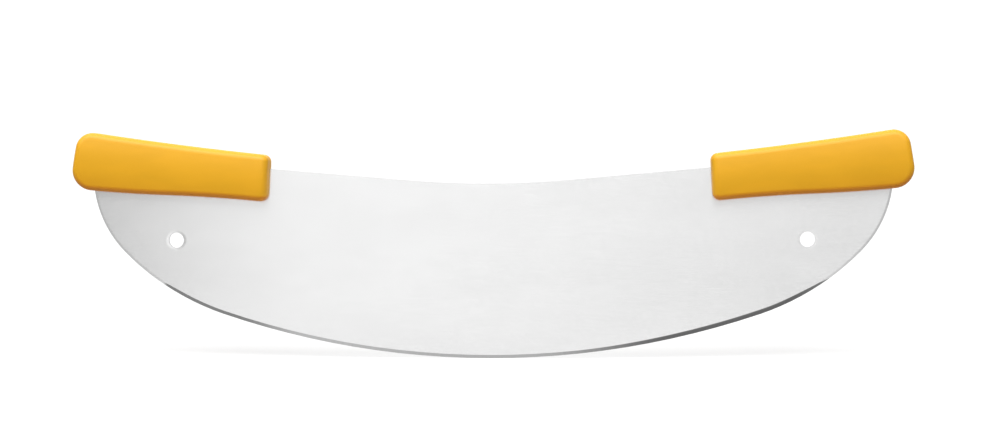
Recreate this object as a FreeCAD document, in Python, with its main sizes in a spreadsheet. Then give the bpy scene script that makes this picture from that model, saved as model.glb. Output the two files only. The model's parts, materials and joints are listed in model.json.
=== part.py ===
import FreeCAD, Part

import math
import os
from types import SimpleNamespace

import Sketcher

# A rocking pizza knife: one sheet of steel with a plastic grip moulded over the tang at each end.
# Millimetres and degrees. X runs along the blade, Y through the sheet with the shown face at -Y, Z is up.
# The origin is the lowest point of the cutting edge, where the knife stands on a board.

SIZES = {
    # Blade outline, read from the middle of the cutting edge round the end to the middle of the spine
    "blade_thickness": 2.0,
    "belly_radius": 550.0,
    "belly_half_width": 176.6,
    "heel_radius": 166.0,
    "heel_angle": 45.7,
    "end_radius": 72.7,
    "tang_corner_radius": 6.0,
    "spine_height": 115.0,
    "spine_radius": 630.0,
    "spine_half_width": 54.0,
    # Ground cutting edge, and the broken corners of the heel and the end
    "bevel_width": 2.2,
    "edge_land": 0.3,
    "bevel_heel_reach": 26.4,
    "bevel_runout": 40.0,
    "heel_break_width": 1.5,
    "heel_break_depth": 0.3,
    "heel_break_runout": 18.0,
    # Hanging holes, measured in from the end of the blade and square down from the spine
    "hanging_hole_diameter": 10.0,
    "hanging_hole_inset": 55.2,
    "hanging_hole_drop": 52.3,
    # Grips: each has its own frame, which starts at the middle of the inner end and tilts up and out
    "grip_length": 129.5,
    "grip_inner_height": 30.8,
    "grip_top_flare": 3.5,
    "grip_palm_drop": 4.35,
    "grip_thickness": 21.0,
    "grip_crown_radius": 75.0,
    "grip_edge_radius": 4.5,
    "grip_inner_corner_extra": 0.4,
    "grip_top_corner_radius": 11.0,
    "grip_palm_corner_radius": 13.0,
    "grip_end_lean": 3.3,
    # How a grip sits on its tang
    "grip_end_cover": 11.5,
    "grip_spine_drop": 6.55,
    "grip_extra_tilt": 1.05,
    # Lock holes in the tangs, which the plastic fills
    "lock_hole_diameter": 8.0,
    "lock_hole_drop": 4.5,
    # How far a cutting shape reaches past what it cuts
    "cut_overrun": 1.0,
}
LOCK_HOLE_COUNT = 3

size = SimpleNamespace(**SIZES)

# Places that several pieces share, worked out from the sheet
HEEL_END = (
    "(Sizes.belly_half_width * (1 - Sizes.heel_radius / Sizes.belly_radius)"
    " + Sizes.heel_radius * sin(Sizes.heel_angle))"
)
BLADE_END = f"({HEEL_END} + Sizes.end_radius * (1 - sin(Sizes.heel_angle)))"
SPINE_TILT = "asin(Sizes.spine_half_width / Sizes.spine_radius)"
GRIP_TILT = f"({SPINE_TILT} + Sizes.grip_extra_tilt * 1 deg)"
GRIP_START = f"({BLADE_END} + Sizes.grip_end_cover - Sizes.grip_length * cos({GRIP_TILT}))"
GRIP_LEVEL = (
    f"(Sizes.spine_height + Sizes.spine_radius * (1 - cos({SPINE_TILT}))"
    f" + ({GRIP_START} - Sizes.spine_half_width) * tan({SPINE_TILT}) - Sizes.grip_spine_drop)"
)

# Sketch references: the ends and centre of an edge, the sketch's own two axes and its origin
START, END, CENTRE = range(1, 4)
LEVEL, UPRIGHT = range(-1, -3, -1)
ORIGIN = (LEVEL, START)


def add_sheet(doc):
    """Put every driving dimension into a sheet, one alias each."""
    sheet = doc.addObject("Spreadsheet::Sheet", "Sizes")
    for row, (alias, value) in enumerate(SIZES.items(), start=1):
        sheet.set(f"A{row}", alias)
        sheet.set(f"B{row}", str(value))
        sheet.setAlias(f"B{row}", alias)
    doc.recompute()


def origin_plane(body, role):
    """One of a body's own origin planes."""
    return next(item for item in body.Origin.OriginFeatures if item.Role == role)


def add_sketch(body, role, name):
    """Start a sketch on an origin plane of its body."""
    sketch = body.newObject("Sketcher::SketchObject", name)
    sketch.AttachmentSupport = (origin_plane(body, role), "")
    sketch.MapMode = "FlatFace"
    return sketch


def point(x, y):
    """A point of a sketch."""
    return FreeCAD.Vector(x, y, 0)


def on_circle(centre, radius, angle):
    """A circle's point at an angle in radians, counted anticlockwise from straight down."""
    return point(centre.x + radius * math.sin(angle), centre.y - radius * math.cos(angle))


def add_arc(sketch, centre, start, end):
    """Add the anticlockwise arc about a centre from one point to another."""
    first = math.atan2(start.y - centre.y, start.x - centre.x)
    last = math.atan2(end.y - centre.y, end.x - centre.x)
    circle = Part.Circle(centre, FreeCAD.Vector(0, 0, 1), (start - centre).Length)
    return sketch.addGeometry(Part.ArcOfCircle(circle, first, last))


def add_line(sketch, start, end):
    """Add a straight edge."""
    return sketch.addGeometry(Part.LineSegment(start, end))


def tie(sketch, kind, *places):
    """Add a constraint that carries no size."""
    sketch.addConstraint(Sketcher.Constraint(kind, *places))


def drive(sketch, kind, places, name, value, expression):
    """Add a size to a sketch, starting at a value and bound to the sheet."""
    index = sketch.addConstraint(Sketcher.Constraint(kind, *places, value))
    sketch.renameConstraint(index, name)
    sketch.setExpression(f"Constraints.{name}", expression)


def drive_by_alias(sketch, kind, places, alias):
    """Add a size that is one cell of the sheet as it stands."""
    drive(sketch, kind, places, alias, SIZES[alias], f"Sizes.{alias}")


def belly_and_heel():
    """Centres and joints of the two arcs that the cutting edge runs along, and the heel's angle."""
    belly_centre = point(0, size.belly_radius)
    belly_angle = math.asin(size.belly_half_width / size.belly_radius)
    belly_end = on_circle(belly_centre, size.belly_radius, belly_angle)
    heel_centre = on_circle(belly_centre, size.belly_radius - size.heel_radius, belly_angle)
    return belly_centre, belly_end, heel_centre, math.radians(size.heel_angle)


def add_blade_outline(body):
    """Half of the sheet's outline: edge, heel, end, tang corner, spine and the line of symmetry."""
    belly_centre, belly_end, heel_centre, heel_angle = belly_and_heel()
    heel_end = on_circle(heel_centre, size.heel_radius, heel_angle)
    end_centre = on_circle(heel_centre, size.heel_radius - size.end_radius, heel_angle)

    spine_centre = point(0, size.spine_height + size.spine_radius)
    spine_tilt = math.asin(size.spine_half_width / size.spine_radius)
    spine_end = on_circle(spine_centre, size.spine_radius, spine_tilt)
    outward = point(math.cos(spine_tilt), math.sin(spine_tilt))
    inward = point(math.sin(spine_tilt), -math.cos(spine_tilt))

    # The tang's corner touches the spine line and the inside of the end arc
    offset_start = spine_end + inward * size.tang_corner_radius
    gap = offset_start - end_centre
    span = size.end_radius - size.tang_corner_radius
    reach = math.sqrt(gap.dot(outward) ** 2 - gap.dot(gap) + span ** 2) - gap.dot(outward)
    corner_centre = offset_start + outward * reach
    corner_top = corner_centre - inward * size.tang_corner_radius
    corner_side = end_centre + (corner_centre - end_centre) * (size.end_radius / span)

    sketch = add_sketch(body, "XZ_Plane", "blade_outline")
    middle_low = point(0, 0)
    middle_high = point(0, size.spine_height)
    belly = add_arc(sketch, belly_centre, middle_low, belly_end)
    heel = add_arc(sketch, heel_centre, belly_end, heel_end)
    end = add_arc(sketch, end_centre, heel_end, corner_side)
    corner = add_arc(sketch, corner_centre, corner_side, corner_top)
    slope = add_line(sketch, corner_top, spine_end)
    spine = add_arc(sketch, spine_centre, middle_high, spine_end)
    middle = add_line(sketch, middle_high, middle_low)

    tie(sketch, "Coincident", belly, START, *ORIGIN)
    tie(sketch, "PointOnObject", belly, CENTRE, UPRIGHT)
    tie(sketch, "PointOnObject", spine, CENTRE, UPRIGHT)
    tie(sketch, "PointOnObject", spine, START, UPRIGHT)
    tie(sketch, "Coincident", middle, START, spine, START)
    tie(sketch, "Coincident", middle, END, *ORIGIN)
    tie(sketch, "Tangent", belly, END, heel, START)
    tie(sketch, "Tangent", heel, END, end, START)
    tie(sketch, "Tangent", end, END, corner, START)
    tie(sketch, "Tangent", corner, END, slope, START)
    tie(sketch, "Tangent", slope, END, spine, END)

    drive_by_alias(sketch, "Radius", (belly,), "belly_radius")
    drive_by_alias(sketch, "Radius", (heel,), "heel_radius")
    drive_by_alias(sketch, "Radius", (end,), "end_radius")
    drive_by_alias(sketch, "Radius", (corner,), "tang_corner_radius")
    drive_by_alias(sketch, "Radius", (spine,), "spine_radius")
    drive_by_alias(sketch, "DistanceX", (*ORIGIN, belly, END), "belly_half_width")
    drive_by_alias(sketch, "DistanceX", (*ORIGIN, spine, END), "spine_half_width")
    drive_by_alias(sketch, "DistanceY", (*ORIGIN, spine, START), "spine_height")
    drive(sketch, "DistanceX", (*ORIGIN, heel, END), "heel_end", heel_end.x, HEEL_END)

    # The hanging hole
    hole_x = end_centre.x + size.end_radius - size.hanging_hole_inset
    spine_at_hole = spine_end.y + (hole_x - spine_end.x) * math.tan(spine_tilt)
    hole_centre = point(hole_x, spine_at_hole - size.hanging_hole_drop / math.cos(spine_tilt))
    hole_radius = size.hanging_hole_diameter / 2
    hole = sketch.addGeometry(Part.Circle(hole_centre, FreeCAD.Vector(0, 0, 1), hole_radius))
    drive_by_alias(sketch, "Diameter", (hole,), "hanging_hole_diameter")
    drive_by_alias(sketch, "Distance", (hole, CENTRE, slope), "hanging_hole_drop")
    hole_place = f"{BLADE_END} - Sizes.hanging_hole_inset"
    drive(sketch, "DistanceX", (*ORIGIN, hole, CENTRE), "hole_place", hole_x, hole_place)
    return sketch


def add_lock_holes(body):
    """The row of holes through the tang, laid out in the grip's own frame."""
    sketch = add_sketch(body, "XZ_Plane", "lock_hole_row")
    start_turn = FreeCAD.Rotation(FreeCAD.Vector(0, 0, 1), size.grip_extra_tilt)
    sketch.AttachmentOffset = FreeCAD.Placement(FreeCAD.Vector(), start_turn)
    sketch.setExpression("AttachmentOffset.Base.x", GRIP_START)
    sketch.setExpression("AttachmentOffset.Base.y", GRIP_LEVEL)
    sketch.setExpression("AttachmentOffset.Rotation.Angle", GRIP_TILT)
    for number in range(1, LOCK_HOLE_COUNT + 1):
        place = size.grip_length * number / (LOCK_HOLE_COUNT + 1)
        centre = point(place, -size.lock_hole_drop)
        circle = Part.Circle(centre, FreeCAD.Vector(0, 0, 1), size.lock_hole_diameter / 2)
        hole = sketch.addGeometry(circle)
        along = f"Sizes.grip_length * {number} / {LOCK_HOLE_COUNT + 1}"
        drive(sketch, "DistanceX", (*ORIGIN, hole, CENTRE), f"place_{number}", place, along)
        drive(sketch, "DistanceY", (hole, CENTRE, *ORIGIN), f"drop_{number}", size.lock_hole_drop,
              "Sizes.lock_hole_drop")
        drive(sketch, "Diameter", (hole,), f"diameter_{number}", size.lock_hole_diameter,
              "Sizes.lock_hole_diameter")
    pocket = body.newObject("PartDesign::Pocket", "lock_holes")
    pocket.Profile = sketch
    pocket.SideType = "Symmetric"
    pocket.setExpression("Length", "Sizes.blade_thickness + 2 * Sizes.cut_overrun")
    return pocket


def start_edge_path(body, name, heel_stop):
    """Start a line to grind along: the belly, then the heel up to an angle of its arc."""
    belly_centre, belly_end, heel_centre, _ = belly_and_heel()
    sketch = add_sketch(body, "XZ_Plane", name)
    belly = add_arc(sketch, belly_centre, point(0, 0), belly_end)
    heel = add_arc(sketch, heel_centre, belly_end, on_circle(heel_centre, size.heel_radius, heel_stop))
    tie(sketch, "Coincident", belly, START, *ORIGIN)
    tie(sketch, "PointOnObject", belly, CENTRE, UPRIGHT)
    tie(sketch, "Tangent", belly, END, heel, START)
    drive_by_alias(sketch, "Radius", (belly,), "belly_radius")
    drive_by_alias(sketch, "Radius", (heel,), "heel_radius")
    drive_by_alias(sketch, "DistanceX", (*ORIGIN, belly, END), "belly_half_width")
    return sketch, heel


def run_off(sketch, arc, start, angle, alias):
    """End a path with a straight line off the outline, so that the ground face narrows to nothing."""
    heading = point(math.cos(angle), math.sin(angle))
    runout = add_line(sketch, start, start + heading * SIZES[alias])
    tie(sketch, "Tangent", arc, END, runout, START)
    drive_by_alias(sketch, "Distance", (runout,), alias)
    return runout


def add_bevel_path(body):
    """The line of the cutting edge: belly, start of the heel, then off the outline."""
    _, _, heel_centre, _ = belly_and_heel()
    stop_x = size.belly_half_width + size.bevel_heel_reach
    stop_angle = math.asin((stop_x - heel_centre.x) / size.heel_radius)
    sketch, heel = start_edge_path(body, "bevel_path", stop_angle)
    drive_by_alias(sketch, "DistanceX", (heel, START, heel, END), "bevel_heel_reach")
    run_off(sketch, heel, on_circle(heel_centre, size.heel_radius, stop_angle), stop_angle, "bevel_runout")
    return sketch


def add_break_path(body):
    """The line of the broken corners: round the heel and the end, then off the outline inside the grip."""
    _, _, heel_centre, heel_angle = belly_and_heel()
    heel_end = on_circle(heel_centre, size.heel_radius, heel_angle)
    end_centre = on_circle(heel_centre, size.heel_radius - size.end_radius, heel_angle)
    upright = math.pi / 2
    widest = on_circle(end_centre, size.end_radius, upright)
    sketch, heel = start_edge_path(body, "break_path", heel_angle)
    end = add_arc(sketch, end_centre, heel_end, widest)
    tie(sketch, "Tangent", heel, END, end, START)
    drive_by_alias(sketch, "Radius", (end,), "end_radius")
    drive(sketch, "DistanceX", (*ORIGIN, heel, END), "heel_end", heel_end.x, HEEL_END)
    runout = run_off(sketch, end, widest, upright, "heel_break_runout")
    tie(sketch, "Vertical", runout)
    return sketch


def add_edge_section(body, name, width_alias, land, land_expression):
    """What a grinding takes away, across the edge: all that lies outside two slopes beside a land."""
    half_land = land / 2
    side = size.blade_thickness / 2 + size.cut_overrun
    rise = SIZES[width_alias] * (side - half_land) / (size.blade_thickness / 2 - half_land)
    corners = [
        point(-half_land, 0),
        point(-side, rise),
        point(-side, -size.cut_overrun),
        point(side, -size.cut_overrun),
        point(side, rise),
        point(half_land, 0),
    ]
    sketch = add_sketch(body, "YZ_Plane", name)
    lines = [add_line(sketch, corners[i - 1], corners[i]) for i in range(len(corners))]
    flat, _, left_side, base, right_side, _ = lines
    for i in range(len(lines)):
        tie(sketch, "Coincident", lines[i - 1], END, lines[i], START)
    tie(sketch, "Symmetric", flat, START, flat, END, *ORIGIN)
    tie(sketch, "Symmetric", left_side, START, right_side, END, UPRIGHT)
    tie(sketch, "Horizontal", flat)
    tie(sketch, "Vertical", left_side)
    tie(sketch, "Vertical", right_side)
    tie(sketch, "Horizontal", base)
    drive(sketch, "DistanceX", (flat, END, flat, START), "land", land, land_expression)
    drive_by_alias(sketch, "DistanceY", (base, START, *ORIGIN), "cut_overrun")
    drive(sketch, "DistanceX", (base, START, base, END), "section_width", 2 * side,
          "Sizes.blade_thickness + 2 * Sizes.cut_overrun")
    drive(sketch, "DistanceY", (*ORIGIN, left_side, START), "section_rise", rise,
          f"Sizes.{width_alias} * (Sizes.blade_thickness + 2 * Sizes.cut_overrun - {land_expression})"
          f" / (Sizes.blade_thickness - {land_expression})")
    return sketch


def grind(doc, body, base, name, section, path):
    """Take a section away along a path."""
    ground = body.newObject("PartDesign::SubtractivePipe", name)
    ground.Profile = section
    ground.Spine = path
    doc.recompute()
    must_shrink(base, ground)
    return ground


def build_blade(doc):
    """The sheet: half of it is drawn, pierced, ground and broken at its corners, then mirrored whole."""
    body = doc.addObject("PartDesign::Body", "blade")
    pad = body.newObject("PartDesign::Pad", "sheet")
    pad.Profile = add_blade_outline(body)
    pad.SideType = "Symmetric"
    pad.setExpression("Length", "Sizes.blade_thickness")
    pierced = add_lock_holes(body)
    doc.recompute()
    must_shrink(pad, pierced)

    bevel_section = add_edge_section(body, "bevel_section", "bevel_width", size.edge_land,
                                     "Sizes.edge_land")
    bevelled = grind(doc, body, pierced, "ground_edge", bevel_section, add_bevel_path(body))
    break_land = size.blade_thickness - 2 * size.heel_break_depth
    break_section = add_edge_section(body, "break_section", "heel_break_width", break_land,
                                     "(Sizes.blade_thickness - 2 * Sizes.heel_break_depth)")
    grind(doc, body, bevelled, "broken_corners", break_section, add_break_path(body))

    mirror = body.newObject("PartDesign::Mirrored", "both_halves")
    mirror.TransformMode = "Whole shape"
    mirror.MirrorPlane = (origin_plane(body, "YZ_Plane"), [""])
    body.Tip = mirror
    doc.recompute()
    return body


def add_grip_outline(body):
    """The grip from the front: a hollow top, an underside that swells towards the palm, leaning ends."""
    half = size.grip_inner_height / 2
    length = size.grip_length
    lean = math.radians(size.grip_end_lean)
    inner_corner = size.grip_edge_radius + size.grip_inner_corner_extra
    top_radius = (length ** 2 + size.grip_top_flare ** 2) / (2 * size.grip_top_flare)
    palm_radius = (length ** 2 + size.grip_palm_drop ** 2) / (4 * size.grip_palm_drop)
    top_centre = point(0, half + top_radius)
    hollow_centre = point(0, -half - palm_radius)
    palm_centre = point(length, palm_radius - half - size.grip_palm_drop)
    turn = (hollow_centre + palm_centre) * (1 / 2)

    # Up along each end, and square out of it
    near_heading = point(math.sin(lean), math.cos(lean))
    near_normal = point(-math.cos(lean), math.sin(lean))
    far_heading = point(-math.sin(lean), math.cos(lean))
    far_normal = point(math.cos(lean), math.sin(lean))

    def corner_beside_end(start, heading, arc_centre, arc_distance, side):
        """Centre of a corner on a line, at a distance from an arc's centre, above it or below it."""
        gap = start - arc_centre
        along = gap.dot(heading)
        return start + heading * (side * math.sqrt(along ** 2 - gap.dot(gap) + arc_distance ** 2) - along)

    near_start = point(0, 0) - near_normal * inner_corner
    top_start = point(length, 0) - far_normal * size.grip_top_corner_radius
    palm_start = point(length, 0) - far_normal * size.grip_palm_corner_radius
    near_top = corner_beside_end(near_start, near_heading, top_centre, top_radius + inner_corner, -1)
    near_low = corner_beside_end(near_start, near_heading, hollow_centre, palm_radius + inner_corner, 1)
    far_top = corner_beside_end(top_start, far_heading, top_centre,
                                top_radius + size.grip_top_corner_radius, -1)
    far_low = corner_beside_end(palm_start, far_heading, palm_centre,
                                palm_radius - size.grip_palm_corner_radius, -1)

    def towards(centre, target, radius):
        """The point of a circle on the way to a target, or away from it for a negative radius."""
        return centre + (target - centre).normalize() * radius

    top_near = towards(near_top, top_centre, inner_corner)
    top_far = towards(far_top, top_centre, size.grip_top_corner_radius)
    low_far = towards(far_low, palm_centre, -size.grip_palm_corner_radius)
    low_near = towards(near_low, hollow_centre, inner_corner)
    inner_low = near_low + near_normal * inner_corner
    inner_high = near_top + near_normal * inner_corner
    outer_low = far_low + far_normal * size.grip_palm_corner_radius
    outer_high = far_top + far_normal * size.grip_top_corner_radius

    sketch = add_sketch(body, "XZ_Plane", "grip_outline")
    inner = add_line(sketch, inner_low, inner_high)
    low_inner = add_arc(sketch, near_low, inner_low, low_near)
    hollow = add_arc(sketch, hollow_centre, turn, low_near)
    palm = add_arc(sketch, palm_centre, turn, low_far)
    low_outer = add_arc(sketch, far_low, low_far, outer_low)
    outer = add_line(sketch, outer_low, outer_high)
    top_outer = add_arc(sketch, far_top, outer_high, top_far)
    top = add_arc(sketch, top_centre, top_near, top_far)
    top_inner = add_arc(sketch, near_top, top_near, inner_high)

    tie(sketch, "PointOnObject", *ORIGIN, inner)
    tie(sketch, "PointOnObject", top, CENTRE, UPRIGHT)
    tie(sketch, "PointOnObject", hollow, CENTRE, UPRIGHT)
    tie(sketch, "Tangent", inner, START, low_inner, START)
    tie(sketch, "Tangent", low_inner, END, hollow, END)
    tie(sketch, "Tangent", hollow, START, palm, START)
    tie(sketch, "Tangent", palm, END, low_outer, START)
    tie(sketch, "Tangent", low_outer, END, outer, START)
    tie(sketch, "Tangent", outer, END, top_outer, START)
    tie(sketch, "Tangent", top_outer, END, top, END)
    tie(sketch, "Tangent", top, START, top_inner, START)
    tie(sketch, "Tangent", top_inner, END, inner, END)
    tie(sketch, "Equal", hollow, palm)
    tie(sketch, "Equal", low_inner, top_inner)

    top_bend = "(Sizes.grip_length^2 + Sizes.grip_top_flare^2) / (2 * Sizes.grip_top_flare)"
    palm_bend = "(Sizes.grip_length^2 + Sizes.grip_palm_drop^2) / (4 * Sizes.grip_palm_drop)"
    drive(sketch, "Angle", (inner, UPRIGHT), "inner_lean", lean, "Sizes.grip_end_lean * 1 deg")
    drive(sketch, "Angle", (UPRIGHT, outer), "outer_lean", lean, "Sizes.grip_end_lean * 1 deg")
    drive(sketch, "Distance", (*ORIGIN, outer), "outer_distance", length * math.cos(lean),
          "Sizes.grip_length * cos(Sizes.grip_end_lean * 1 deg)")
    drive_by_alias(sketch, "Radius", (top_outer,), "grip_top_corner_radius")
    drive_by_alias(sketch, "Radius", (low_outer,), "grip_palm_corner_radius")
    drive(sketch, "Radius", (top_inner,), "inner_corner_radius", inner_corner,
          "Sizes.grip_edge_radius + Sizes.grip_inner_corner_extra")
    drive(sketch, "Radius", (top,), "top_radius", top_radius, top_bend)
    drive(sketch, "Radius", (hollow,), "palm_radius", palm_radius, palm_bend)
    drive(sketch, "DistanceX", (*ORIGIN, palm, CENTRE), "palm_place", length, "Sizes.grip_length")
    drive(sketch, "DistanceY", (*ORIGIN, top, CENTRE), "top_level", top_centre.y,
          f"Sizes.grip_inner_height / 2 + {top_bend}")
    drive(sketch, "DistanceY", (hollow, CENTRE, *ORIGIN), "hollow_level", -hollow_centre.y,
          f"Sizes.grip_inner_height / 2 + {palm_bend}")
    return sketch


def add_crown_section(body):
    """What lies outside the grip's two crowned faces, across its length: one piece on each side."""
    reach = size.grip_inner_height / 2 + size.grip_top_flare + size.grip_palm_drop
    side = size.grip_thickness / 2 + 2 * size.cut_overrun
    drop = size.grip_crown_radius - math.sqrt(size.grip_crown_radius ** 2 - reach ** 2)
    sketch = add_sketch(body, "YZ_Plane", "crown_section")
    for name, sign in (("front", -1), ("back", 1)):
        crown_centre = point(sign * (size.grip_thickness / 2 - size.grip_crown_radius), 0)
        crown_high = point(sign * (size.grip_thickness / 2 - drop), reach)
        crown_low = point(sign * (size.grip_thickness / 2 - drop), -reach)
        outer_high = point(sign * side, reach)
        outer_low = point(sign * side, -reach)
        ends = (crown_high, crown_low) if sign < 0 else (crown_low, crown_high)
        crown = add_arc(sketch, crown_centre, *ends)
        low_place, high_place = (END, START) if sign < 0 else (START, END)
        low = add_line(sketch, crown_low, outer_low)
        wall = add_line(sketch, outer_low, outer_high)
        high = add_line(sketch, outer_high, crown_high)
        tie(sketch, "Coincident", crown, low_place, low, START)
        tie(sketch, "Coincident", low, END, wall, START)
        tie(sketch, "Coincident", wall, END, high, START)
        tie(sketch, "Coincident", high, END, crown, high_place)
        tie(sketch, "Horizontal", low)
        tie(sketch, "Horizontal", high)
        tie(sketch, "Vertical", wall)
        tie(sketch, "PointOnObject", crown, CENTRE, LEVEL)
        tie(sketch, "Symmetric", crown, START, crown, END, LEVEL)
        drive(sketch, "Radius", (crown,), f"{name}_radius", size.grip_crown_radius,
              "Sizes.grip_crown_radius")
        drive(sketch, "DistanceY", (*ORIGIN, high, END), f"{name}_reach", reach,
              "Sizes.grip_inner_height / 2 + Sizes.grip_top_flare + Sizes.grip_palm_drop")
        centre_pair = (*ORIGIN, crown, CENTRE) if sign < 0 else (crown, CENTRE, *ORIGIN)
        drive(sketch, "DistanceX", centre_pair, f"{name}_centre",
              size.grip_crown_radius - size.grip_thickness / 2,
              "Sizes.grip_crown_radius - Sizes.grip_thickness / 2")
        wall_pair = (wall, START, *ORIGIN) if sign < 0 else (*ORIGIN, wall, START)
        drive(sketch, "DistanceX", wall_pair, f"{name}_wall", side,
              "Sizes.grip_thickness / 2 + 2 * Sizes.cut_overrun")
    return sketch


def round_grip_edges(body, base):
    """Round the edges of the two crowned faces, all the way round."""
    names = set()
    for face in base.Shape.Faces:
        surface = face.Surface
        if isinstance(surface, Part.Cylinder) and abs(surface.Axis.x) > abs(surface.Axis.y):
            for edge in face.Edges:
                number = next(i for i, other in enumerate(base.Shape.Edges, start=1) if other.isSame(edge))
                names.add(f"Edge{number}")
    fillet = body.newObject("PartDesign::Fillet", "rounded_edges")
    fillet.Base = (base, sorted(names))
    fillet.setExpression("Radius", "Sizes.grip_edge_radius")
    return fillet


def build_grip(doc):
    """The outer form of the right grip, placed on its tang."""
    body = doc.addObject("PartDesign::Body", "grip_form")
    pad = body.newObject("PartDesign::Pad", "grip_block")
    pad.Profile = add_grip_outline(body)
    pad.SideType = "Symmetric"
    pad.setExpression("Length", "Sizes.grip_thickness + 2 * Sizes.cut_overrun")
    doc.recompute()

    crown = body.newObject("PartDesign::Pocket", "crowned_faces")
    crown.Profile = add_crown_section(body)
    crown.SideType = "Symmetric"
    crown.setExpression("Length", "2 * (Sizes.grip_length + Sizes.grip_inner_height)")
    doc.recompute()
    must_shrink(pad, crown)

    rounded = round_grip_edges(body, crown)
    doc.recompute()
    must_shrink(crown, rounded)

    start_turn = FreeCAD.Rotation(FreeCAD.Vector(0, -1, 0), size.grip_extra_tilt)
    body.Placement = FreeCAD.Placement(FreeCAD.Vector(), start_turn)
    body.setExpression("Placement.Base.x", GRIP_START)
    body.setExpression("Placement.Base.z", GRIP_LEVEL)
    body.setExpression("Placement.Rotation.Angle", GRIP_TILT)
    doc.recompute()
    return body


def mould_handles(doc, grip, blade):
    """The right handle is the grip's form less the tang that it is moulded round; the left mirrors it."""
    right = doc.addObject("Part::Cut", "right_handle")
    right.Base = grip
    right.Tool = blade
    left = doc.addObject("Part::Mirroring", "left_handle")
    left.Source = right
    left.Normal = FreeCAD.Vector(1, 0, 0)
    doc.recompute()
    # The tang is taller than its lock holes over more than half of the grip
    must_shrink(grip, right, size.blade_thickness * size.lock_hole_diameter * size.grip_length / 2)
    return left, right


def must_shrink(before, after, least=0):
    """A cut that misses the solid takes nothing, so the volumes are compared."""
    if not before.Shape.Volume - after.Shape.Volume > least:
        raise RuntimeError(f"{after.Label} took too little away")


def check(doc, pieces):
    """Stop if anything in the document failed, or a piece is not one valid solid."""
    for item in doc.Objects:
        if "Invalid" in item.State or "Error" in item.State:
            raise RuntimeError(f"{item.Label} failed: {item.State}")
    for piece in pieces:
        if piece.Shape.isNull() or not piece.Shape.isValid() or len(piece.Shape.Solids) != 1:
            raise RuntimeError(f"{piece.Label} is not one valid solid")


def main():
    doc = FreeCAD.newDocument("rocking_knife")
    add_sheet(doc)
    blade = build_blade(doc)
    left, right = mould_handles(doc, build_grip(doc), blade)
    pieces = (blade, left, right)
    check(doc, pieces)
    os.makedirs("parts", exist_ok=True)
    for piece in pieces:
        piece.Shape.exportStep(f"parts/{piece.Label}.step")
        box = piece.Shape.BoundBox
        print(piece.Label, f"{box.XLength:.2f} x {box.YLength:.2f} x {box.ZLength:.2f} mm",
              f"{piece.Shape.Volume / 1000:.2f} cm3")


main()
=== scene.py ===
import json
import math

import bpy
from mathutils import Matrix, Vector

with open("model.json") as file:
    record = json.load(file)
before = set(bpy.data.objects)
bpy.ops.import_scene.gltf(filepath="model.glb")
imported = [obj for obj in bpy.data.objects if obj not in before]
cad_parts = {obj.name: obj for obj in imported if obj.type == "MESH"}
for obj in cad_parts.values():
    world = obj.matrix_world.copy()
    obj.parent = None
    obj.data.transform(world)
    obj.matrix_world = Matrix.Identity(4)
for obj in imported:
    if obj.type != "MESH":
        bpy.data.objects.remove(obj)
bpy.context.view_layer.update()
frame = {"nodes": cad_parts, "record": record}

# A rocking pizza knife on its cutting edge: brushed steel, and a satin plastic grip over each end.
# Metres and watts. X runs along the blade, the shown face looks towards -Y, and Z is up.
# A span is a low and a high end. A ramp is a span followed by the values at its two ends.

# Camera, as in the photograph: angles in degrees, lens and sensor in millimetres
CAMERA_AZIMUTH = 3.06
CAMERA_ELEVATION = 1.554
CAMERA_ROLL = -0.187
CAMERA_DISTANCE = 1.2
CAMERA_TARGET = (0.00715, 0.0, 0.089)
CAMERA_LENS = 65.78
CAMERA_SENSOR = 36.0
CAMERA_CLIP = (0.01, 200.0)

# Floor: its reach, its own grey, and how brightly the camera and reflections see it
FLOOR_HALF_WIDTH = 0.7
FLOOR_FRONT = -0.12
FLOOR_BACK = 0.6
FLOOR_GREY = 0.3
FLOOR_GLOW = 0.71
FLOOR_MIRRORED = 0.97

# World in front of the blade, as ramps over degrees to the right of straight ahead
FRONT_LEFT = (-18.0, -10.7, 0.34, 1.06)
FRONT_FAR_LEFT = (-32.0, -21.0, 0.2, 0.0)
FRONT_RIGHT = (-14.0, 27.0, 1.035, 0.565)

# World behind the blade and at all heights, as ramps over X, Y or Z of its direction
REAR_SIDES = (0.05, 0.6, 1.0, 0.66)
FRONT_TO_REAR = (0.0, 0.6)
WORLD_BELOW = (-0.75, -0.4, 0.4, 1.0)
WORLD_ABOVE = (0.3, 0.8, 1.0, 3.0)

# What diffuse light and the camera get from the world; a little over white keeps the picture's rim clean
WORLD_DIFFUSE = 0.15
WORLD_SEEN = 1.1

# The point that both lamps are aimed at
LAMP_TARGET = (0.0, 0.0, 0.1)

# The belly, which the grinding follows, and the right hanging hole, which the left one mirrors
BELLY_RADIUS = 0.55
MILLIMETRE = 0.001
HOLE = next(mount for mount in frame["record"]["mounts"] if mount["name"] == "right_hanging_hole")
HOLE_X, _, HOLE_Z = HOLE["pos_m"]
HOLE_RADIUS = HOLE["dims"]["r_mm"] * MILLIMETRE

# How squarely the steel faces front or back, from 0 on a sheared rim to 1 on a face, as spans
RIM_ENDS = (0.5, 0.9)
BEVEL_ENDS = (0.95, 0.965)
BREAK_STARTS = (0.955, 0.97)
BREAK_ENDS = (0.988, 0.996)

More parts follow.
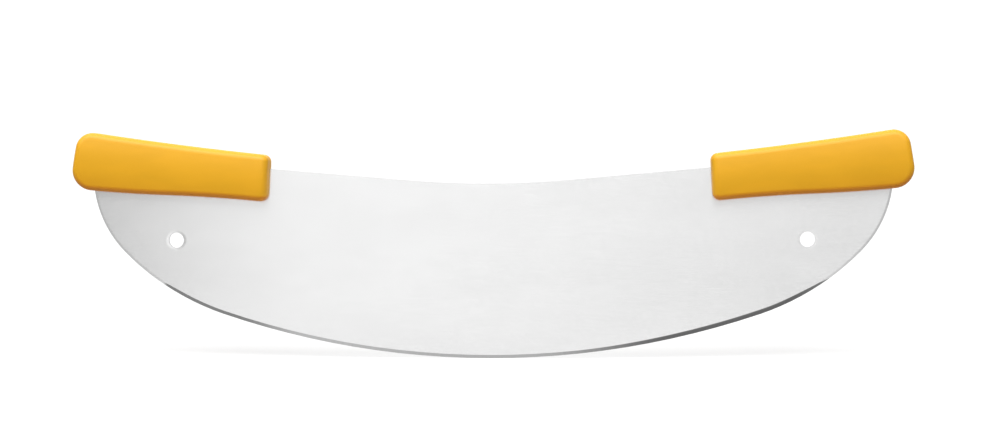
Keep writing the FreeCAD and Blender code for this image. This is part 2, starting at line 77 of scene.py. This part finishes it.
# Steel: counts per metre along X, Y and Z, greys and roughness from low to high
FINE_STREAKS = (300.0, 1.0, 1100.0)
LONG_STREAKS = (50.0, 1.0, 1300.0)
LONG_STREAK_SHARE = 0.35
BRUSH_CLOUDS = (14.0, 1.0, 30.0)
GRIT_PER_RADIAN = 1400.0
GRIT_PER_METRE = 60.0
FACE_GREYS = (0.772, 0.803)
CLOUD_GREYS = (0.797, 0.828)
RIM_GREYS = (0.50, 0.66)
BREAK_GREYS = (0.74, 0.86)
GRIT_SHARES = (0.75, 1.25)
FACE_ROUGHNESS = (0.21, 0.26)
RIM_ROUGHNESS = 0.45
BEVEL_ROUGHNESS = 0.38
BRUSH_ANISOTROPY = 0.75
STEEL_BUMP = 0.06

# Tone of the bevel along the blade, as ramps over X. The ground finish is duller than the face; the rest of
# its darkness, lighter at the left end and darker to the right, is painted reflection
BEVEL_LEFT_END = (-0.2170, -0.2135, 0.45, 0.0)
BEVEL_LEFT = (-0.168, -0.122, 0.24, 0.495)
BEVEL_MIDDLE_LOSS = (-0.11, -0.02, 0.0, 0.056)
BEVEL_LEFT_TO_RIGHT = (0.025, 0.12)
BEVEL_RIGHT = (0.195, 0.225, 0.134, 0.225)

# How far the bevel's dark painted reflection reaches in from the belly's circle onto the flat face, as ramps
# over X.
# The heel curves away from that circle, so the reach grows there. The painted tone ends over a short span of
# distance.
PAINTED_BAND_REACH = (0.02, 0.15, 0.0020, 0.0029)
PAINTED_BAND_HEEL_GAIN = (0.18, 0.222, 0.0, 0.0027)
PAINTED_BAND_FADE = (-0.0001, 0.0001)

# Roll-over round the hanging holes: how far it runs inside and outside the rim, and its rise in bumps
ROLL_INSIDE = 0.001
ROLL_OUTSIDE = 0.002
ROLL_RISE = 12.0

# Plastic: counts per metre along X, Y and Z, colours, and ramps over what their names say
GRAIN = (2600.0, 2600.0, 2600.0)
FLOW = (30.0, 60.0, 90.0)
PLASTIC_DARK = (0.79, 0.39, 0.003, 1.0)
PLASTIC_LIGHT = (0.84, 0.415, 0.005, 1.0)
PLASTIC_GRAIN = (0.87, 0.44, 0.009, 1.0)
# Painted shade: the deeper, redder colour laid where the grip turns under
PLASTIC_PAINTED_SHADE = (0.96, 0.33, 0.001, 1.0)
PLASTIC_PARTING = (0.55, 0.25, 0.02, 1.0)
TINT_OVER_GRAIN = (0.35, 0.75, 0.0, 0.35)
PAINTED_SHADE_OVER_LEAN = (-0.64, -0.06, 1.0, 0.0)
PARTING_OVER_DISTANCE = (0.00012, 0.0003, 1.0, 0.0)
PARTING_TINT = 0.35
PARTING_DEPTH = 1.5
PLASTIC_ROUGHNESS = (0.46, 0.56)
PLASTIC_IOR = 1.5
PLASTIC_BUMP = 0.10

# Shared by both materials: the span that most noise lies in, and the height of a bump of 1
NOISE_SPAN = (0.3, 0.7)
BUMP_DISTANCE = 0.0001


class Graph:
    """A short way to write a node tree: most calls add a node and give back one of its outputs."""

    def __init__(self, tree):
        self.tree = tree
        tree.nodes.clear()

    def add(self, kind, inputs=(), **settings):
        """Add a node with its settings, and feed its inputs; the node itself is given back."""
        node = self.tree.nodes.new(kind)
        for name, value in settings.items():
            setattr(node, name, value)
        for key, value in dict(inputs).items():
            self.feed(node.inputs[key], value)
        return node

    def feed(self, socket, value):
        """Link an output to a socket, or set the socket to a constant."""
        if isinstance(value, bpy.types.NodeSocket):
            self.tree.links.new(value, socket)
        else:
            socket.default_value = value

    def math(self, operation, *values):
        """One operation on one or two numbers."""
        return self.add("ShaderNodeMath", dict(enumerate(values)), operation=operation).outputs[0]

    def spread(self, value, low, high, to_low=0.0, to_high=1.0):
        """A value's span eased into another span."""
        inputs = {"Value": value, "From Min": low, "From Max": high, "To Min": to_low, "To Max": to_high}
        return self.add("ShaderNodeMapRange", inputs, interpolation_type="SMOOTHSTEP").outputs["Result"]

    def split(self, vector):
        """The three parts of a vector."""
        return self.add("ShaderNodeSeparateXYZ", {"Vector": vector}).outputs

    def join(self, x, y, z):
        """A vector of three parts."""
        return self.add("ShaderNodeCombineXYZ", {"X": x, "Y": y, "Z": z}).outputs["Vector"]

    def length(self, vector):
        """A vector's length."""
        return self.add("ShaderNodeVectorMath", {0: vector}, operation="LENGTH").outputs["Value"]

    def noise(self, place, counts, detail, roughness):
        """Noise with its own count along each axis."""
        scaled = self.join(*(self.math("MULTIPLY", axis, count) for axis, count in zip(place, counts)))
        inputs = {"Vector": scaled, "Scale": 1.0, "Detail": detail, "Roughness": roughness}
        return self.add("ShaderNodeTexNoise", inputs).outputs["Fac"]

    def mix(self, factor, first, second, kind="FLOAT"):
        """A mix of two numbers, or of two values of another kind."""
        node = self.add("ShaderNodeMix", data_type=kind)
        sockets = (socket for socket in node.inputs if socket.enabled)
        for socket, value in zip(sockets, (factor, first, second)):
            self.feed(socket, value)
        return next(socket for socket in node.outputs if socket.enabled)

    def blend(self, factor, first, second):
        """A mix of two colours."""
        return self.mix(factor, first, second, "RGBA")

    def greys(self, factor, levels):
        """A grey between two levels."""
        low, high = levels
        return self.blend(factor, grey(low), grey(high))

    def shade(self, level, share):
        """A grey of a share of a level."""
        part = self.math("MULTIPLY", level, share)
        return self.join(part, part, part)

    def bump(self, strength, height):
        """A normal that follows a height."""
        inputs = {"Strength": strength, "Distance": BUMP_DISTANCE, "Height": height}
        return self.add("ShaderNodeBump", inputs).outputs["Normal"]


def grey(level):
    """An opaque grey."""
    return (level, level, level, 1.0)


def new_material(name):
    """An empty material, and the graph to write it with."""
    material = bpy.data.materials.new(name)
    material.use_nodes = True
    return material, Graph(material.node_tree)


def finish_material(graph, shader):
    """Make a shader the surface of its material."""
    graph.add("ShaderNodeOutputMaterial", {"Surface": shader})


def make_steel():
    """Brushed stainless sheet, with a ground bevel along the edge and sheared rims; the bevel's tone is
    partly painted reflection.
    """
    material, g = new_material("brushed_steel")
    place = g.split(g.add("ShaderNodeTexCoord").outputs["Object"])
    x, y, z = place
    facing = g.math("ABSOLUTE", g.split(g.add("ShaderNodeNewGeometry").outputs["True Normal"])["Y"])

    # Where the sheet is ground, broken or sheared, told by how its surface leans
    past_rim = g.spread(facing, *RIM_ENDS)
    on_bevel = g.math("SUBTRACT", past_rim, g.spread(facing, *BEVEL_ENDS))
    on_break = g.math("SUBTRACT", g.spread(facing, *BREAK_STARTS), g.spread(facing, *BREAK_ENDS))
    on_rim = g.math("SUBTRACT", 1.0, past_rim)

    # Brushing runs along the blade; clouds are where the brush pressed harder
    fine = g.noise(place, FINE_STREAKS, detail=3.0, roughness=0.6)
    long = g.noise(place, LONG_STREAKS, detail=2.0, roughness=0.5)
    cloud = g.noise(place, BRUSH_CLOUDS, detail=3.0, roughness=0.55)
    brush = g.spread(g.mix(LONG_STREAK_SHARE, fine, long), *NOISE_SPAN)
    face = g.blend(g.spread(cloud, *NOISE_SPAN), g.greys(brush, FACE_GREYS), g.greys(brush, CLOUD_GREYS))

    # On the right the bevel's dark tone is painted past the bevel onto the flat face: painted reflection
    # standing in for a wider bevel
    inward = g.math("SUBTRACT", BELLY_RADIUS, z)
    depth = g.math("SUBTRACT", BELLY_RADIUS, g.length(g.join(x, 0.0, inward)))
    reach = g.math("ADD", g.spread(x, *PAINTED_BAND_REACH), g.spread(x, *PAINTED_BAND_HEEL_GAIN))
    painted_bevel_band = g.spread(g.math("SUBTRACT", reach, depth), *PAINTED_BAND_FADE)
    on_bevel = g.math("MAXIMUM", on_bevel, g.math("MULTIPLY", past_rim, painted_bevel_band))

    # Grinding lines cross the bevel, so they are counted round the belly
    turn = g.math("ARCTAN2", x, inward)
    grit = g.noise((turn, z, y), (GRIT_PER_RADIAN, GRIT_PER_METRE, 1.0), detail=3.0, roughness=0.6)
    # The bevel's grey along the blade is painted reflection laid over its duller ground finish
    left_finish_and_painted_reflection = g.math("SUBTRACT", g.spread(x, *BEVEL_LEFT), g.spread(x, *BEVEL_MIDDLE_LOSS))
    left_finish_and_painted_reflection = g.math("ADD", left_finish_and_painted_reflection, g.spread(x, *BEVEL_LEFT_END))
    finish_and_painted_reflection = g.mix(g.spread(x, *BEVEL_LEFT_TO_RIGHT), left_finish_and_painted_reflection, g.spread(x, *BEVEL_RIGHT))
    bevel = g.blend(grit, *(g.shade(finish_and_painted_reflection, share) for share in GRIT_SHARES))

    colour = g.blend(on_break, face, g.greys(fine, BREAK_GREYS))
    colour = g.blend(on_rim, colour, g.greys(fine, RIM_GREYS))
    colour = g.blend(on_bevel, colour, bevel)
    rough = g.mix(on_rim, g.spread(brush, 0.0, 1.0, *FACE_ROUGHNESS), RIM_ROUGHNESS)
    rough = g.mix(on_bevel, rough, BEVEL_ROUGHNESS)

    # Punching rolls the sheet's face over round each hanging hole
    across = g.math("SUBTRACT", g.math("ABSOLUTE", x), HOLE_X)
    away = g.length(g.join(across, 0.0, g.math("SUBTRACT", z, HOLE_Z)))
    rolled = g.spread(away, HOLE_RADIUS - ROLL_INSIDE, HOLE_RADIUS + ROLL_OUTSIDE, 0.0, ROLL_RISE)
    normal = g.bump(STEEL_BUMP, g.math("ADD", g.mix(on_bevel, brush, grit), rolled))

    # Brushing along the blade spreads a reflection across it, up and down
    upright = g.add("ShaderNodeTangent", direction_type="RADIAL", axis="X").outputs["Tangent"]
    shader = g.add("ShaderNodeBsdfPrincipled", {
        "Base Color": colour, "Roughness": rough, "Metallic": 1.0, "Normal": normal,
        "Anisotropic": BRUSH_ANISOTROPY, "Tangent": upright,
    })
    finish_material(g, shader.outputs["BSDF"])
    return material


def make_plastic():
    """Satin moulded plastic with a fine spark-eroded grain, a parting line round the middle, and painted
    shade where it turns under.
    """
    material, g = new_material("grip_plastic")
    place = g.split(g.add("ShaderNodeTexCoord").outputs["Object"])
    grain = g.noise(place, GRAIN, detail=2.0, roughness=0.6)
    flow = g.noise(place, FLOW, detail=3.0, roughness=0.5)
    parting = g.spread(g.math("ABSOLUTE", place["Y"]), *PARTING_OVER_DISTANCE)
    lean = g.split(g.add("ShaderNodeNewGeometry").outputs["Normal"])["Z"]

    # Painted shade: the colour is deeper and redder where the grip turns under
    colour = g.blend(g.spread(flow, *NOISE_SPAN), PLASTIC_DARK, PLASTIC_LIGHT)
    colour = g.blend(g.spread(grain, *TINT_OVER_GRAIN), colour, PLASTIC_GRAIN)
    colour = g.blend(g.spread(lean, *PAINTED_SHADE_OVER_LEAN), colour, PLASTIC_PAINTED_SHADE)
    colour = g.blend(g.math("MULTIPLY", parting, PARTING_TINT), colour, PLASTIC_PARTING)

    rough = g.spread(grain, *NOISE_SPAN, *PLASTIC_ROUGHNESS)
    normal = g.bump(PLASTIC_BUMP, g.math("SUBTRACT", grain, g.math("MULTIPLY", parting, PARTING_DEPTH)))
    shader = g.add("ShaderNodeBsdfPrincipled", {
        "Base Color": colour, "Roughness": rough, "Normal": normal, "IOR": PLASTIC_IOR,
    })
    finish_material(g, shader.outputs["BSDF"])
    return material


def add_floor():
    """A pale floor that keeps a soft shadow; past its rim the white surround carries on."""
    corners = [(-FLOOR_HALF_WIDTH, FLOOR_FRONT, 0.0), (FLOOR_HALF_WIDTH, FLOOR_FRONT, 0.0),
               (FLOOR_HALF_WIDTH, FLOOR_BACK, 0.0), (-FLOOR_HALF_WIDTH, FLOOR_BACK, 0.0)]
    mesh = bpy.data.meshes.new("floor")
    mesh.from_pydata(corners, [], [(0, 1, 2, 3)])
    floor = bpy.data.objects.new("floor", mesh)
    bpy.context.scene.collection.objects.link(floor)

    material, g = new_material("pale_floor")
    path = g.add("ShaderNodeLightPath").outputs
    mirrored = g.math("MAXIMUM", path["Is Glossy Ray"], path["Is Transmission Ray"])
    diffuse = g.add("ShaderNodeBsdfDiffuse", {"Color": grey(FLOOR_GREY)}).outputs["BSDF"]
    glow = g.add("ShaderNodeEmission", {"Color": grey(1.0), "Strength": FLOOR_GLOW}).outputs["Emission"]
    white = g.add("ShaderNodeEmission", {"Color": grey(1.0), "Strength": FLOOR_MIRRORED}).outputs["Emission"]
    lit = g.add("ShaderNodeAddShader", {0: diffuse, 1: glow}).outputs["Shader"]
    seen = g.add("ShaderNodeMixShader", {0: path["Is Camera Ray"], 1: diffuse, 2: lit}).outputs["Shader"]
    surface = g.add("ShaderNodeMixShader", {0: mirrored, 1: seen, 2: white}).outputs["Shader"]
    finish_material(g, surface)
    mesh.materials.append(material)


def add_world():
    """A white surround to look at, and a soft studio that is brightest overhead and dims to the sides."""
    world = bpy.data.worlds.new("studio")
    bpy.context.scene.world = world
    world.use_nodes = True
    g = Graph(world.node_tree)
    x, y, z = g.split(g.add("ShaderNodeTexCoord").outputs["Generated"])
    aside = g.math("DEGREES", g.math("ARCTAN2", x, g.math("MULTIPLY", y, -1.0)))

    left = g.math("ADD", g.spread(aside, *FRONT_LEFT), g.spread(aside, *FRONT_FAR_LEFT))
    front = g.math("MULTIPLY", left, g.spread(aside, *FRONT_RIGHT))
    rear = g.spread(g.math("ABSOLUTE", x), *REAR_SIDES)
    around = g.mix(g.spread(y, *FRONT_TO_REAR), front, rear)
    height = g.math("MULTIPLY", g.spread(z, *WORLD_BELOW), g.spread(z, *WORLD_ABOVE))
    level = g.math("MULTIPLY", around, height)

    path = g.add("ShaderNodeLightPath").outputs
    strength = g.mix(path["Is Diffuse Ray"], level, WORLD_DIFFUSE)
    strength = g.mix(path["Is Camera Ray"], strength, WORLD_SEEN)
    background = g.add("ShaderNodeBackground", {"Color": grey(1.0), "Strength": strength})
    g.add("ShaderNodeOutputWorld", {"Surface": background.outputs["Background"]})


def add_lamp(name, place, width, depth, power, mirrored=True):
    """A soft box aimed at the knife, which the camera never sees."""
    light = bpy.data.lights.new(name, "AREA")
    light.shape = "RECTANGLE"
    light.size = width
    light.size_y = depth
    light.energy = power
    lamp = bpy.data.objects.new(name, light)
    lamp.location = place
    lamp.rotation_mode = "QUATERNION"
    lamp.rotation_quaternion = (Vector(LAMP_TARGET) - Vector(place)).to_track_quat("-Z", "Y")
    lamp.visible_camera = False
    lamp.visible_glossy = mirrored
    bpy.context.scene.collection.objects.link(lamp)


def add_camera():
    """A camera at the photograph's viewing angle."""
    azimuth, elevation, roll = map(math.radians, (CAMERA_AZIMUTH, CAMERA_ELEVATION, CAMERA_ROLL))
    level = math.cos(elevation)
    back = Vector((math.sin(azimuth) * level, -math.cos(azimuth) * level, math.sin(elevation)))
    right = Vector((math.cos(azimuth), math.sin(azimuth), 0.0))
    up = back.cross(right)
    rolled_right = math.cos(roll) * right + math.sin(roll) * up
    rolled_up = math.cos(roll) * up - math.sin(roll) * right
    data = bpy.data.cameras.new("camera")
    data.sensor_fit = "HORIZONTAL"
    data.sensor_width = CAMERA_SENSOR
    data.lens = CAMERA_LENS
    data.clip_start, data.clip_end = CAMERA_CLIP
    camera = bpy.data.objects.new("camera", data)
    turn = Matrix((rolled_right, rolled_up, back)).transposed().to_4x4()
    camera.matrix_world = Matrix.Translation(Vector(CAMERA_TARGET) + back * CAMERA_DISTANCE) @ turn
    bpy.context.scene.collection.objects.link(camera)
    bpy.context.scene.camera = camera


def dress(node, material):
    """Give a CAD node its finish, in every slot that it has."""
    for slot in frame["nodes"][node].material_slots:
        slot.material = material


bpy.context.scene.view_settings.view_transform = "Standard"
add_camera()
add_world()
add_floor()
add_lamp("softbox", place=(-0.19, -1.19, 1.70), width=3.0, depth=1.5, power=69.0)
add_lamp("back_softbox", place=(0.0, 2.1, 0.9), width=0.8, depth=0.8, power=38.0, mirrored=False)

steel = make_steel()
plastic = make_plastic()
dress("blade", steel)
dress("left_handle", plastic)
dress("right_handle", plastic)
